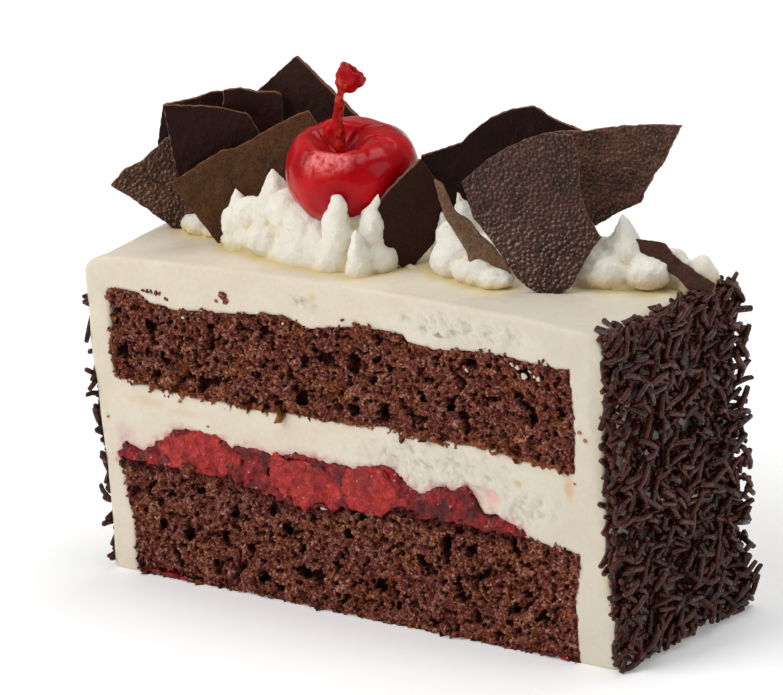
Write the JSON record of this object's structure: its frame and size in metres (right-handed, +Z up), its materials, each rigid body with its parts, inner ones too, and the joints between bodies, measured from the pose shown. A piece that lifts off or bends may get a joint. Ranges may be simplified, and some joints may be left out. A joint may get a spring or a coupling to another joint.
{
  "type": "slice of black forest cake",
  "caption": "Cut slice of layered chocolate sponge cake with whipped cream, cherry filling, sprinkled ends, piped cream, a cherry on its stem and upright chocolate shards.",
  "frame": {"origin": "middle of the slice's flat base, halfway between its two cut faces", "axes": "+X along the slice towards the end with the wide shard, +Y away from the front cut face, +Z up"},
  "size_m": [0.1234, 0.0384, 0.0974],
  "materials": {
    "sponge": "matte",
    "cream": "satin",
    "jam": "gloss",
    "cherry": "gloss",
    "stem": "satin",
    "chocolate": "satin"
  },
  "bodies": {
    "root": {"sponge_bottom": "sponge", "cherry_filling": "jam", "filling_cherry_front_1": "cherry", "filling_cherry_front_2": "cherry", "filling_cherry_front_3": "cherry", "filling_cherry_back_1": "cherry", "filling_cherry_back_2": "cherry", "filling_cherry_back_3": "cherry", "cream_filling": "cream", "sponge_top": "sponge", "icing": "cream", "cream_under_cherry": "cream", "cream_middle": "cream", "cream_right": "cream", "cream_left": "cream", "cherry": "cherry", "cherry_stem": "stem", "shard_left_low": "chocolate", "shard_left_square": "chocolate", "shard_left_back": "chocolate", "shard_left_curl": "chocolate", "shard_left_peak": "chocolate", "shard_left_front": "chocolate", "shard_right_dark": "chocolate", "shard_right_curved": "chocolate", "shard_right_front": "chocolate", "shard_right_narrow": "chocolate", "shard_right_back": "chocolate", "shard_right_strip": "chocolate"}
  },
  "joints": []
}
